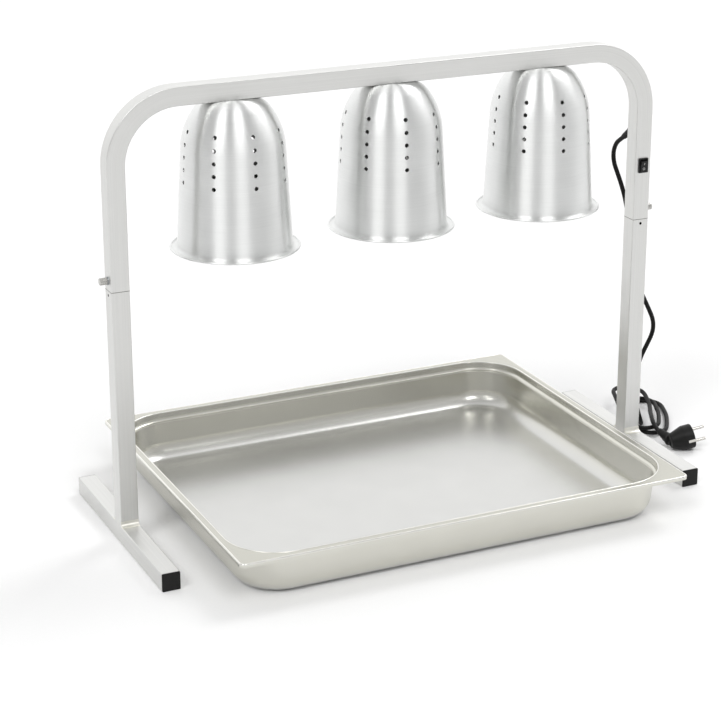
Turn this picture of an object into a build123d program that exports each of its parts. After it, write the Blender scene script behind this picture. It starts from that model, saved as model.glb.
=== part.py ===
from build123d import *
from math import cos, pi, radians, sin, sqrt, tan
import os

# Food heat lamp: a square tube arch on two feet holds three spun shades over a pan.
# Millimetres. X runs along the bar, Y from front to back, Z up from the floor.
# The origin is on the floor, midway between the two feet.

os.makedirs("parts", exist_ok=True)

# Square tube frame
tube = 25.0
tube_wall = 1.5
tube_corner = 1.5
leg_spacing = 775.0
foot_length = 340.0
arch_height = 608.0
seam_height = 350.0
bend_radius = 85.0
weld_size = 4.0

# Caps in the ends of the feet
cap_face = 1.2
cap_margin = 0.3
cap_depth = 14.0
cap_wall = 2.0

# Spigots on which the arch slides up from the lower legs
spigot_grip = 50.0
spigot_reach = 60.0
spigot_wall = 3.0
slide_clearance = 0.25
seam_clearance = 0.2

# Grub screws that hold the spigots in the lower legs
grub_diameter = 4.0
grub_drop = 6.5
grub_socket = 2.0
grub_socket_depth = 1.8

# Thumb screws that clamp the arch, and the nuts they turn in
clamp_rise = 13.0
clamp_thread = 5.0
clamp_barrel = 8.0
clamp_collar = 11.0
clamp_collar_height = 1.4
clamp_clearance = 0.05
clamp_tip_gap = 0.2
knob_gap = 0.4
knob_diameter = 9.5
knob_length = 9.5
knob_grooves = 18
knob_groove_width = 0.9
knob_edge = 0.6

# Spun shades
shade_pitch = 225.0
shade_height = 196.0
shade_wall = 1.2
shade_mouth_radius = 75.7
shade_taper = 3.27
shoulder_drop = 63.0
shoulder_radius = 95.0
shoulder_turn = 33.8
rim_width = 9.8
rim_fillet = 5.0
rim_bead = 2.6
vent_diameter = 5.5
vent_columns = 8
vent_rows = 5
vent_pitch = 16.3
vent_drop = 36.8
shade_turns = {"left": 2.3, "middle": -8.6, "right": -1.2}

# Hollow threaded nipples that hang the shades and lampholders from the bar
nipple_diameter = 10.0
nipple_bore = 7.0
nipple_clearance = 0.2
nipple_grip = 8.0
nipple_proud = 1.5
nut_across = 14.0
nut_height = 4.0

# Porcelain lampholders
holder_radius = 20.0
holder_neck_radius = 16.0
holder_neck_height = 11.0
holder_height = 44.0
holder_bore_depth = 32.0
holder_edge = 2.0
shell_wall = 0.9
shell_length = 22.0
shell_inset = 5.0
contact_radius = 5.0
contact_height = 2.0

# Reflector heat bulbs
bulb_cap_radius = 13.2
bulb_cap_length = 24.0
bulb_cap_wall = 1.2
bulb_cap_clearance = 0.1
bulb_tip_radius = 4.5
bulb_tip_height = 2.0
bulb_tip_gap = 0.2
bulb_length = 173.0
bulb_radius = 62.5
bulb_neck_drop = 3.0
bulb_throat_radius = 20.0
bulb_throat_drop = 28.0
bulb_belly_height = 45.0
bulb_brow_height = 8.0
bulb_wall = 1.2

# Rocker switch in the front of the right leg
switch_rise = 78.75
bezel_width = 15.0
bezel_height = 21.0
bezel_thickness = 1.8
bezel_corner = 1.0
switch_width = 13.2
switch_height = 19.2
switch_depth = 12.0
switch_cut_clearance = 0.1
switch_well = 7.5
rocker_width = 10.4
rocker_half = 7.6
rocker_side_gap = 0.3
rocker_end_gap = 1.2
rocker_end_front = 5.4
rocker_middle_front = 4.2
rocker_back = 2.5
rocker_tilt = 10.0
rocker_edge = 0.5
pivot_inset = 1.0
pivot_radius = 1.2
pivot_length = 0.7
pivot_clearance = 0.05
terminal_thickness = 0.8
terminal_width = 4.8
terminal_length = 7.0
terminal_offset = 5.5
boot_width = 15.0
boot_height = 18.0
boot_depth = 8.5

# Wiring inside the tube
loom_diameter = 5.5
loom_offset = 6.5
loom_back = 4.0
loom_drop_diameter = 5.0
lead_offset = 3.5
lead_bend = 6.0

# Angled strain relief where the cord leaves the back of the right leg
gland_rise = 45.25
gland_flange_radius = 8.0
gland_flange = 2.5
gland_neck_radius = 5.5
gland_fit = 0.1
gland_collar_radius = 6.2
gland_collar = 1.0
gland_knuckle = 6.5
gland_sleeve = 24.0
gland_sleeve_root = 5.6
gland_sleeve_tip = 4.2
gland_droop = 35.0

# Cord, its hank and its plug on the floor
cord_diameter = 6.5
cord_corner_share = 0.45
floor_gap = 0.05
cord_lead_out = 24.0
hank_gap = 0.5
hank_centre_x = 464.0
hank_centre_y = 75.0
hank_turned = 20.0
hank_left = 9.0
hank_fold = 44.0
hank_fan = 13.0
hank_far = 68.0
hank_far_step = 3.0
hank_far_slant = 11.0
hank_near = 72.0
hank_near_step = 6.0
hank_near_aside = 7.0
hank_lean = 10.0
hank_layers = (0.0, 0.0, 0.1, 0.4, 0.7, 1.05, 1.35, 1.45, 2.95, 3.0, 2.3)
hank_lead_in = 20.0
hank_lead_out = 18.0
plug_radius = 18.0
plug_collar = 14.0
plug_tail_radius = 11.0
plug_length = 34.0
plug_edge = 2.0
plug_face_x = 466.0
plug_face_y = -55.0
plug_yaw = -15.0
plug_pitch = 12.0
pin_diameter = 4.8
pin_length = 19.0
pin_spacing = 19.0
pin_edge = 1.0
strip_width = 4.0
strip_length = 11.0
strip_thickness = 1.2
strip_proud = 0.4
relief_length = 33.0
relief_tip = 4.2
relief_root = 6.8

# Pan under the lamps
pan_length = 650.0
pan_width = 530.0
pan_depth = 65.0
pan_aside = -5.0
pan_wall = 1.0
pan_flange = 11.5
pan_corner = 8.0
pan_lip = 5.0
pan_mouth_corner = 70.0
pan_mouth_round = 2.0
pan_collar = 12.0
pan_step = 4.5
pan_step_round = 2.0
pan_draft = 6.0
pan_floor_round = 25.0

# Places worked out from the sizes above
half = tube / 2
tube_inside = tube - 2 * tube_wall
leg_x = leg_spacing / 2
bar_z = arch_height - half
bar_under = arch_height - tube
clamp_z = seam_height + clamp_rise
grub_z = seam_height - grub_drop
switch_z = seam_height + switch_rise
gland_z = switch_z + gland_rise
spigot_slide = tube_inside - 2 * slide_clearance
shade_rim_z = bar_under - shade_height
holder_top = bar_under - shade_wall
holder_mouth = holder_top - holder_height
holder_ceiling = holder_mouth + holder_bore_depth
holder_bore = bulb_cap_radius + bulb_cap_clearance + shell_wall
bulb_top = holder_ceiling - contact_height - bulb_tip_gap
bulb_cap_top = bulb_top - bulb_tip_height
bulb_cap_foot = bulb_cap_top - bulb_cap_length
bulb_face = bulb_top - bulb_length
lamp_places = {"left": -shade_pitch, "middle": 0.0, "right": shade_pitch}
sides = {"left": -1, "right": 1}


def save(piece, name):
    """Label a finished piece and write it under its own name."""
    piece.part.label = name
    export_step(piece.part, f"parts/{name}.step")


def tube_section():
    """Section of the square tube, drawn in the open sketch."""
    RectangleRounded(tube, tube, tube_corner)
    Rectangle(tube_inside, tube_inside, mode=Mode.SUBTRACT)


def upright(x, y=0.0):
    """Plane that faces the front, with its local axes along X and Z."""
    return Plane(origin=(x, y, 0), x_dir=(1, 0, 0), z_dir=(0, -1, 0))


def outward(sign, z):
    """Plane on a leg's centre line that faces away from the other leg."""
    return Plane(origin=(sign * leg_x, 0, z), x_dir=(0, 1, 0), z_dir=(sign, 0, 0))


def upward_axis(x):
    """Upright axis through a lamp."""
    return Axis((x, 0, 0), (0, 0, 1))


# Feet: a bar along Y on each side, with moulded caps in both ends
foot_bar_length = foot_length - 2 * cap_face
for side, sign in sides.items():
    with BuildPart() as foot_bar:
        with BuildSketch(upright(sign * leg_x)):
            with Locations((0, half)):
                tube_section()
        extrude(amount=foot_bar_length / 2, both=True)
    save(foot_bar, f"foot_bar_{side}")

with BuildPart() as foot_end_caps:
    for sign in sides.values():
        for end in (-1, 1):
            tube_end = Plane(
                origin=(sign * leg_x, end * foot_bar_length / 2, half), x_dir=(1, 0, 0), z_dir=(0, end, 0)
            )
            with BuildSketch(tube_end):
                RectangleRounded(tube - 2 * cap_margin, tube - 2 * cap_margin, tube_corner)
            extrude(amount=cap_face)
            with BuildSketch(tube_end):
                Rectangle(tube_inside, tube_inside)
                Rectangle(tube_inside - 2 * cap_wall, tube_inside - 2 * cap_wall, mode=Mode.SUBTRACT)
            extrude(amount=-cap_depth)
save(foot_end_caps, "foot_end_caps")

# Lower legs, welded to the feet, each with a grub screw hole below the seam
grub_planes = {"left": outward(-1, grub_z), "right": Plane(origin=(leg_x, 0, grub_z), z_dir=(0, -1, 0))}
for side, sign in sides.items():
    with BuildPart() as lower_leg:
        with BuildSketch(Plane.XY.offset(tube)):
            with Locations((sign * leg_x, 0)):
                tube_section()
        extrude(amount=seam_height - tube)
        with BuildSketch(grub_planes[side]):
            Circle(grub_diameter / 2)
        extrude(amount=tube, mode=Mode.SUBTRACT)
    save(lower_leg, f"lower_leg_{side}")

with BuildPart() as leg_welds:
    for sign in sides.values():
        for face in (-1, 1):
            with BuildSketch(Plane(origin=(sign * leg_x, 0, 0), x_dir=(0, face, 0), z_dir=(face, 0, 0))):
                with BuildLine():
                    toe = (half + weld_size, tube)
                    throat = (half, tube + weld_size)
                    Polyline(throat, (half, tube), toe)
                    RadiusArc(toe, throat, 2 * weld_size)
                make_face()
            extrude(amount=half - tube_corner, both=True)
save(leg_welds, "leg_welds")

# Spigots: tight in the lower legs, loose in the arch
for side, sign in sides.items():
    with BuildPart() as spigot:
        with BuildSketch(Plane.XY.offset(seam_height)):
            with Locations((sign * leg_x, 0)):
                Rectangle(tube_inside, tube_inside)
        extrude(amount=-spigot_grip)
        with BuildSketch(Plane.XY.offset(seam_height)):
            with Locations((sign * leg_x, 0)):
                Rectangle(spigot_slide, spigot_slide)
        extrude(amount=spigot_reach)
        with BuildSketch(Plane.XY.offset(seam_height - spigot_grip)):
            with Locations((sign * leg_x, 0)):
                Rectangle(spigot_slide - 2 * spigot_wall, spigot_slide - 2 * spigot_wall)
        extrude(amount=spigot_grip + spigot_reach, mode=Mode.SUBTRACT)
        with BuildSketch(grub_planes[side]):
            Circle(grub_diameter / 2)
        extrude(amount=tube, mode=Mode.SUBTRACT)
    save(spigot, f"spigot_{side}")

grub_length = half - (spigot_slide / 2 - spigot_wall)
with BuildPart() as spigot_grub_screws:
    for side in sides:
        with BuildSketch(grub_planes[side].offset(half)):
            Circle(grub_diameter / 2)
        extrude(amount=-grub_length)
        with BuildSketch(grub_planes[side].offset(half)):
            RegularPolygon(grub_socket / 2, 6, major_radius=False)
        extrude(amount=-grub_socket_depth, mode=Mode.SUBTRACT)
save(spigot_grub_screws, "spigot_grub_screws")

# Arch: one bent tube, with holes for the nipples, switch, strain relief and clamp nuts
gland_x = leg_x - lead_offset
with BuildPart() as arch_tube:
    with BuildLine() as arch_path:
        arch_foot = seam_height + seam_clearance
        FilletPolyline(
            (-leg_x, 0, arch_foot),
            (-leg_x, 0, bar_z),
            (leg_x, 0, bar_z),
            (leg_x, 0, arch_foot),
            radius=bend_radius,
        )
    with BuildSketch(Plane.XY.offset(arch_foot)):
        with Locations((-leg_x, 0)):
            tube_section()
    sweep(path=arch_path.line)
    with BuildSketch(Plane.XY.offset(bar_z)):
        with Locations(*[(x, 0) for x in lamp_places.values()]):
            Circle(nipple_diameter / 2 + nipple_clearance)
    extrude(amount=-tube, mode=Mode.SUBTRACT)
    with BuildSketch(upright(leg_x)):
        with Locations((0, switch_z)):
            Rectangle(switch_width + 2 * switch_cut_clearance, switch_height + 2 * switch_cut_clearance)
    extrude(amount=tube, mode=Mode.SUBTRACT)
    with BuildSketch(upright(gland_x)):
        with Locations((0, gland_z)):
            Circle(gland_neck_radius + gland_fit)
    extrude(amount=-tube, mode=Mode.SUBTRACT)
    for sign in sides.values():
        with BuildSketch(outward(sign, clamp_z)):
            Circle(clamp_barrel / 2)
        extrude(amount=tube, mode=Mode.SUBTRACT)
save(arch_tube, "arch_tube")

# Clamp nuts in the arch's outer faces, and the thumb screws that turn in them
with BuildPart() as clamp_nuts:
    for sign in sides.values():
        with BuildSketch(outward(sign, clamp_z).offset(tube_inside / 2)):
            Circle(clamp_barrel / 2)
        extrude(amount=tube_wall)
        with BuildSketch(outward(sign, clamp_z).offset(half)):
            Circle(clamp_collar / 2)
        extrude(amount=clamp_collar_height)
        with BuildSketch(outward(sign, clamp_z)):
            Circle(clamp_thread / 2 + clamp_clearance)
        extrude(amount=tube, mode=Mode.SUBTRACT)
save(clamp_nuts, "clamp_nuts")

knob_start = half + clamp_collar_height + knob_gap
for side, sign in sides.items():
    with BuildPart() as thumb_screw:
        screw_tip = spigot_slide / 2 + clamp_tip_gap
        with BuildSketch(outward(sign, clamp_z).offset(screw_tip)):
            Circle(clamp_thread / 2)
        extrude(amount=knob_start - screw_tip)
        with BuildSketch(outward(sign, clamp_z).offset(knob_start)):
            Circle(knob_diameter / 2)
        extrude(amount=knob_length)
        chamfer(thumb_screw.edges().sort_by(Axis.X)[-1 if sign > 0 else 0], length=knob_edge)
        with BuildSketch(outward(sign, clamp_z).offset(knob_start)):
            with PolarLocations(knob_diameter / 2, knob_grooves):
                Circle(knob_groove_width / 2)
        extrude(amount=knob_length, mode=Mode.SUBTRACT)
    save(thumb_screw, f"thumb_screw_{side}")

# Shades: a spun skin with wall, shoulder and crown, and the flared rim that the wall runs into
wall_lean = (-sin(radians(shade_taper)), cos(radians(shade_taper)))
shoulder_z = bar_under - shoulder_drop
shoulder_r = shade_mouth_radius - (shoulder_z - shade_rim_z) * tan(radians(shade_taper))
shoulder_end = shade_taper + shoulder_turn
shoulder_rise = shoulder_radius * (sin(radians(shoulder_end)) - sin(radians(shade_taper)))
crown_radius = (shoulder_drop - shoulder_rise) / (1 - sin(radians(shoulder_end)))
rim_radius = shade_mouth_radius + rim_width
rim_top = Plane.XY.offset(shade_rim_z + shade_wall + rim_fillet)


def shade_skin(inset):
    """Half section of the shade's skin, moved inwards by inset, from the rim to the nipple hole."""
    flange_z = shade_rim_z + shade_wall - inset
    shoulder_start = (shoulder_r - inset * wall_lean[1], shoulder_z + inset * wall_lean[0])
    corner_r = shoulder_start[0] + (shoulder_start[1] - flange_z) * tan(radians(shade_taper))
    FilletPolyline(
        (rim_radius - rim_bead / 2, flange_z), (corner_r, flange_z), shoulder_start, radius=rim_fillet + inset
    )
    shoulder = JernArc(shoulder_start, wall_lean, shoulder_radius - inset, shoulder_turn)
    crown = JernArc(shoulder @ 1, shoulder % 1, crown_radius - inset, 90 - shoulder_end)
    Line(crown @ 1, (nipple_diameter / 2 + nipple_clearance, bar_under - inset))


for side, x in lamp_places.items():
    with BuildPart() as shade:
        with BuildSketch(upright(x)):
            with BuildLine():
                shade_skin(0)
                shade_skin(shade_wall)
                hole_r = nipple_diameter / 2 + nipple_clearance
                edge_r = rim_radius - rim_bead / 2
                Line((hole_r, bar_under), (hole_r, bar_under - shade_wall))
                Line((edge_r, shade_rim_z), (edge_r, shade_rim_z + shade_wall))
            make_face()
            with Locations((edge_r, shade_rim_z + rim_bead / 2)):
                Circle(rim_bead / 2)
        revolve(axis=upward_axis(x))
        for column in range(vent_columns):
            angle = radians(shade_turns[side] + column * 360 / vent_columns)
            across = Plane(
                origin=(x, 0, bar_under - vent_drop),
                x_dir=(-sin(angle), cos(angle), 0),
                z_dir=(cos(angle), sin(angle), 0),
            )
            with BuildSketch(across):
                with Locations(*[(0, -row * vent_pitch) for row in range(vent_rows)]):
                    Circle(vent_diameter / 2)
            extrude(amount=rim_radius, mode=Mode.SUBTRACT)
    with BuildPart() as shade_rim:
        add(shade.part)
        split(bisect_by=rim_top, keep=Keep.BOTTOM)
    save(shade_rim, f"shade_rim_{side}")
    with shade:
        split(bisect_by=rim_top, keep=Keep.TOP)
    save(shade, f"shade_{side}")

# Nipples and their nuts on the inside floor of the bar
bar_floor = bar_under + tube_wall
with BuildPart() as lamp_nipples:
    with BuildSketch(Plane.XY.offset(holder_top - nipple_grip)):
        with Locations(*[(x, 0) for x in lamp_places.values()]):
            Circle(nipple_diameter / 2)
            Circle(nipple_bore / 2, mode=Mode.SUBTRACT)
    extrude(amount=bar_floor + nut_height + nipple_proud - holder_top + nipple_grip)
save(lamp_nipples, "lamp_nipples")

with BuildPart() as nipple_nuts:
    with BuildSketch(Plane.XY.offset(bar_floor)):
        with Locations(*[(x, 0) for x in lamp_places.values()]):
            RegularPolygon(nut_across / 2, 6, major_radius=False)
            Circle(nipple_diameter / 2, mode=Mode.SUBTRACT)
    extrude(amount=nut_height)
save(nipple_nuts, "nipple_nuts")

# Lampholders: a porcelain body under each shade's crown, with a screw shell and a contact
neck_foot = holder_top - holder_neck_height
for side, x in lamp_places.items():
    with BuildPart() as lampholder:
        with BuildSketch(upright(x)):
            with BuildLine():
                Polyline(
                    (0, holder_top),
                    (holder_neck_radius, holder_top),
                    (holder_neck_radius, neck_foot),
                    (holder_radius, neck_foot - (holder_radius - holder_neck_radius)),
                    (holder_radius, holder_mouth),
                    (0, holder_mouth),
                    close=True,
                )
            make_face()
        revolve(axis=upward_axis(x))
        fillet(lampholder.edges().filter_by(GeomType.CIRCLE), radius=holder_edge)
        with BuildSketch(Plane.XY.offset(holder_mouth)):
            with Locations((x, 0)):
                Circle(holder_bore)
        extrude(amount=holder_bore_depth, mode=Mode.SUBTRACT)
        with BuildSketch(Plane.XY.offset(holder_top)):
            with Locations((x, 0)):
                Circle(nipple_diameter / 2)
        extrude(amount=-nipple_grip, mode=Mode.SUBTRACT)
    save(lampholder, f"lampholder_{side}")

with BuildPart() as holder_shells:
    with BuildSketch(Plane.XY.offset(holder_mouth + shell_inset)):
        with Locations(*[(x, 0) for x in lamp_places.values()]):
            Circle(holder_bore)
            Circle(holder_bore - shell_wall, mode=Mode.SUBTRACT)
    extrude(amount=shell_length)
save(holder_shells, "holder_shells")

with BuildPart() as holder_contacts:
    with BuildSketch(Plane.XY.offset(holder_ceiling)):
        with Locations(*[(x, 0) for x in lamp_places.values()]):
            Circle(contact_radius)
    extrude(amount=-contact_height)
save(holder_contacts, "holder_contacts")


def bulb_skin(inset):
    """Half section of a bulb's glass, moved inwards by inset, from its neck to the middle of its face."""
    neck = bulb_cap_radius - inset
    face = bulb_face + inset
    belly = bulb_radius - inset
    throat = bulb_throat_radius - inset
    FilletPolyline(
        (neck, bulb_cap_foot),
        (neck, holder_mouth - bulb_neck_drop),
        (throat, holder_mouth - bulb_throat_drop),
        (belly, bulb_face + bulb_belly_height),
        (belly, face + bulb_brow_height),
        (0, face),
        radius=[bulb_throat_radius, 2 * bulb_throat_radius, throat, bulb_brow_height - inset],
    )


for side, x in lamp_places.items():
    with BuildPart() as bulb_glass:
        with BuildSketch(upright(x)):
            with BuildLine():
                bulb_skin(0)
                bulb_skin(bulb_wall)
                Line((bulb_cap_radius - bulb_wall, bulb_cap_foot), (bulb_cap_radius, bulb_cap_foot))
                Line((0, bulb_face), (0, bulb_face + bulb_wall))
            make_face()
        revolve(axis=upward_axis(x))
    save(bulb_glass, f"bulb_glass_{side}")

    with BuildPart() as bulb_cap:
        with BuildSketch(Plane.XY.offset(bulb_cap_foot)):
            with Locations((x, 0)):
                Circle(bulb_cap_radius)
        extrude(amount=bulb_cap_length)
        with BuildSketch(Plane.XY.offset(bulb_cap_foot)):
            with Locations((x, 0)):
                Circle(bulb_cap_radius - bulb_cap_wall)
        extrude(amount=bulb_cap_length - bulb_cap_wall, mode=Mode.SUBTRACT)
        with BuildSketch(Plane.XY.offset(bulb_cap_top)):
            with Locations((x, 0)):
                Circle(bulb_tip_radius)
        extrude(amount=bulb_tip_height)
    save(bulb_cap, f"bulb_cap_{side}")

# Switch: a bezel and body in the leg, a rocker on two trunnions, two blades and a boot behind
pivot_y = -half + pivot_inset
switch_back = -half + switch_depth
well_half = rocker_half + rocker_end_gap
well_width = rocker_width + 2 * rocker_side_gap
with BuildPart() as switch_housing:
    with BuildSketch(upright(leg_x, -half)):
        with Locations((0, switch_z)):
            RectangleRounded(bezel_width, bezel_height, bezel_corner)
    extrude(amount=bezel_thickness)
    with BuildSketch(upright(leg_x, -half)):
        with Locations((0, switch_z)):
            Rectangle(switch_width, switch_height)
    extrude(amount=-switch_depth)
    with BuildSketch(upright(leg_x, -half - bezel_thickness)):
        with Locations((0, switch_z)):
            Rectangle(well_width, 2 * well_half)
    extrude(amount=-bezel_thickness - switch_well, mode=Mode.SUBTRACT)
    with BuildSketch(Plane(origin=(leg_x, pivot_y, switch_z), x_dir=(0, 1, 0), z_dir=(1, 0, 0))):
        Circle(pivot_radius + pivot_clearance)
    extrude(amount=rocker_width / 2 + pivot_length + pivot_clearance, both=True, mode=Mode.SUBTRACT)
save(switch_housing, "switch_housing")

tilt = radians(rocker_tilt)
with BuildPart() as rocker:
    side_on = Plane(origin=(leg_x, pivot_y, switch_z), x_dir=(0, cos(tilt), sin(tilt)), z_dir=(1, 0, 0))
    with BuildSketch(side_on) as rocker_side:
        with BuildLine():
            Polyline(
                (-rocker_end_front, rocker_half),
                (-rocker_middle_front, 0),
                (-rocker_end_front, -rocker_half),
                (0, -rocker_half),
                (rocker_back, -rocker_half / 2),
                (rocker_back, rocker_half / 2),
                (0, rocker_half),
                close=True,
            )
        make_face()
        fillet(rocker_side.vertices(), radius=rocker_edge)
    extrude(amount=rocker_width / 2, both=True)
    with BuildSketch(side_on):
        Circle(pivot_radius)
    extrude(amount=rocker_width / 2 + pivot_length, both=True)
save(rocker, "rocker")

with BuildPart() as switch_terminals:
    with BuildSketch(upright(leg_x, switch_back)):
        with Locations((0, switch_z - terminal_offset), (0, switch_z + terminal_offset)):
            Rectangle(terminal_width, terminal_thickness)
    extrude(amount=-terminal_length)
save(switch_terminals, "switch_terminals")

with BuildPart() as switch_boot:
    with BuildSketch(upright(leg_x, switch_back)):
        with Locations((0, switch_z)):
            Rectangle(boot_width, boot_height)
    extrude(amount=-boot_depth)
    add(switch_terminals.part, mode=Mode.SUBTRACT)
save(switch_boot, "switch_boot")

# Wiring: a loom from the switch to the lamps, and a lead from the strain relief to the switch
boot_top = switch_z + boot_height / 2
loom_x = leg_x + loom_offset
loom_z = bar_z + loom_offset
with BuildPart() as wiring_loom:
    with BuildLine() as loom_path:
        FilletPolyline(
            (loom_x, loom_back, boot_top),
            (loom_x, loom_back, loom_z),
            (-shade_pitch, loom_back, loom_z),
            radius=bend_radius + loom_offset,
        )
    with BuildSketch(Plane.XY.offset(boot_top)):
        with Locations((loom_x, loom_back)):
            Circle(loom_diameter / 2)
    sweep(path=loom_path.line)
    with BuildSketch(Plane.XY.offset(holder_top - nipple_grip)):
        with Locations(*[(x, 0) for x in lamp_places.values()]):
            Circle(loom_drop_diameter / 2)
    extrude(amount=loom_z - holder_top + nipple_grip)
save(wiring_loom, "wiring_loom")

collar_back = tube_inside / 2 - gland_collar
with BuildPart() as supply_lead:
    with BuildLine() as lead_path:
        FilletPolyline(
            (gland_x, collar_back, gland_z),
            (gland_x, collar_back - lead_bend, gland_z),
            (gland_x, collar_back - lead_bend, boot_top),
            radius=lead_bend - floor_gap,
        )
    with BuildSketch(Plane(origin=(gland_x, collar_back, gland_z), x_dir=(1, 0, 0), z_dir=(0, -1, 0))):
        Circle(cord_diameter / 2)
    sweep(path=lead_path.line)
save(supply_lead, "supply_lead")

# Strain relief: a collar inside, a flange outside and a sleeve that droops with the cord
droop = radians(gland_droop)
sleeve_root = Vector(gland_x, half + gland_flange, gland_z)
sleeve_way = Vector(0, cos(droop), -sin(droop))
sleeve_end = sleeve_root + sleeve_way * gland_sleeve
with BuildPart() as cord_gland:
    with BuildSketch(upright(gland_x, collar_back)):
        with Locations((0, gland_z)):
            Circle(gland_collar_radius)
    extrude(amount=-gland_collar)
    with BuildSketch(upright(gland_x, tube_inside / 2)):
        with Locations((0, gland_z)):
            Circle(gland_neck_radius)
    extrude(amount=-tube_wall)
    with BuildSketch(upright(gland_x, half)):
        with Locations((0, gland_z)):
            Circle(gland_flange_radius)
    extrude(amount=-gland_flange)
    with BuildSketch(upright(gland_x, half + gland_flange)):
        with BuildLine():
            CenterArc((0, gland_z), gland_knuckle, -90, 180)
            Line((0, gland_z + gland_knuckle), (0, gland_z - gland_knuckle))
        make_face()
    revolve(axis=upward_axis(gland_x).located(Location((0, half + gland_flange, 0))), revolution_arc=180)
    with BuildSketch(Plane(origin=sleeve_root, x_dir=(1, 0, 0), z_dir=sleeve_way)):
        Circle(gland_sleeve_root)
    with BuildSketch(Plane(origin=sleeve_end, x_dir=(1, 0, 0), z_dir=sleeve_way)):
        Circle(gland_sleeve_tip)
    loft()
save(cord_gland, "cord_gland")

# Hank: each loop lies over the one before it and a little further to the left, like a fan
hank_centre = Vector(hank_centre_x, hank_centre_y, 0)
hank_across = Vector(cos(radians(hank_turned)), -sin(radians(hank_turned)), 0)
hank_along = Vector(sin(radians(hank_turned)), cos(radians(hank_turned)), 0)
hank_low = cord_diameter / 2 + floor_gap
hank_layer = cord_diameter + hank_gap
far_slant = radians(hank_far_slant)
run_lean = radians(hank_lean)
hank_ways = (
    hank_along,
    hank_across * cos(far_slant) - hank_along * sin(far_slant),
    hank_along * -cos(run_lean) - hank_across * sin(run_lean),
    hank_across * -1,
)


def hank_knot(quarter):
    """Point and direction at each quarter turn: left run, far fold, right run and near fold."""
    loop = quarter // 4
    left = -hank_left - hank_fan * loop
    places = (
        (left, 0.0),
        (left + hank_fold / 2, hank_far + hank_far_step * loop),
        (left + hank_fold, 0.0),
        (left + (hank_fold - hank_fan) / 2 - hank_near_aside, hank_near_step * loop - hank_near),
    )
    across, along = places[quarter % 4]
    height = Vector(0, 0, hank_low + hank_layer * hank_layers[quarter])
    return hank_centre + hank_across * across + hank_along * along + height, hank_ways[quarter % 4]


def biarc(start, start_way, end, end_way):
    """Two tangent arcs from one point and direction to another."""
    chord = end - start
    spread = 2 * (1 - start_way.dot(end_way))
    pull = chord.dot(start_way + end_way)
    reach = (sqrt(pull * pull + spread * chord.dot(chord)) - pull) / spread
    middle = (start + start_way * reach + end - end_way * reach) * 0.5
    first = TangentArc(start, middle, tangent=start_way)
    TangentArc(middle, end, tangent=first % 1)


hank_knots = [hank_knot(quarter) for quarter in range(len(hank_layers))]
hank_first = hank_knots[0][0] - hank_knots[0][1] * cord_diameter
hank_last = hank_knots[-1][0] + hank_knots[-1][1] * cord_diameter
with BuildPart() as cord_hank:
    with BuildLine() as hank_path:
        Line(hank_first, hank_knots[0][0])
        for before, after in zip(hank_knots, hank_knots[1:]):
            biarc(*before, *after)
        Line(hank_knots[-1][0], hank_last)
    with BuildSketch(Plane(origin=hank_first, z_dir=hank_knots[0][1])):
        Circle(cord_diameter / 2)
    sweep(path=hank_path.line)
save(cord_hank, "cord_hank")

# The hank's own turns must not touch: the least gap between stretches far apart along the cord
hank_wire = hank_path.wires()[0]
hank_length = hank_wire.length
gap_steps = 420
own_stretch = 6 * cord_diameter
gap_points = [hank_wire @ (step / gap_steps) for step in range(gap_steps + 1)]
apart = round(own_stretch / hank_length * gap_steps)
least_gap = min(
    (near - far).length - cord_diameter
    for index, near in enumerate(gap_points)
    for far in gap_points[index + apart:]
)
print(f"hank length {hank_length:.0f}, least gap to itself {least_gap:.2f}")

# Free stretches of the cord, between points chosen along the way it hangs and lies
drop_points = [
    sleeve_end,
    sleeve_end + sleeve_way * cord_lead_out,
    Vector(384.6, 62.6, 432.8),
    Vector(385.6, 62.5, 416.5),
    Vector(387.0, 53.8, 402.3),
    Vector(388.8, 45.0, 387.5),
    Vector(391.0, 38.3, 371.5),
    Vector(393.5, 34.0, 352.0),
    Vector(396.2, 31.2, 330.0),
    Vector(399.5, 29.0, 306.0),
    Vector(404.0, 27.8, 280.0),
    Vector(410.0, 27.2, 255.0),
    Vector(416.8, 27.0, 234.0),
    Vector(423.8, 27.0, 216.8),
    Vector(433.4, 27.0, 197.0),
    Vector(442.9, 27.0, 177.2),
    Vector(442.9, 27.0, 158.8),
    Vector(433.6, 27.0, 139.1),
    Vector(425.6, 27.0, 121.0),
    Vector(421.8, 27.0, 101.0),
    Vector(422.3, 27.5, 80.0),
    Vector(426.0, 28.5, 60.0),
    Vector(430.5, 30.0, 40.0),
    Vector(436.0, 33.5, 23.0),
    Vector(441.5, 40.5, 10.5),
    hank_first - hank_along * hank_lead_in,
    hank_first,
]
plug_lead_points = [
    hank_last,
    hank_last + hank_knots[-1][1] * hank_lead_out,
    Vector(453.0, 36.5, 21.2),
    Vector(446.5, 24.5, 21.6),
    Vector(441.5, 13.0, 20.8),
    Vector(437.2, 0.5, 17.6),
    Vector(438.0, -12.5, 15.4),
]


def cord_radii(points):
    """Radius at each corner of a cord's route, as large as its two runs allow."""
    radii = []
    for before, corner, after in zip(points, points[1:], points[2:]):
        turn = radians((corner - before).get_angle(after - corner))
        shorter = min((corner - before).length, (after - corner).length)
        radii.append(cord_corner_share * shorter / tan(turn / 2))
    return radii


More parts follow.
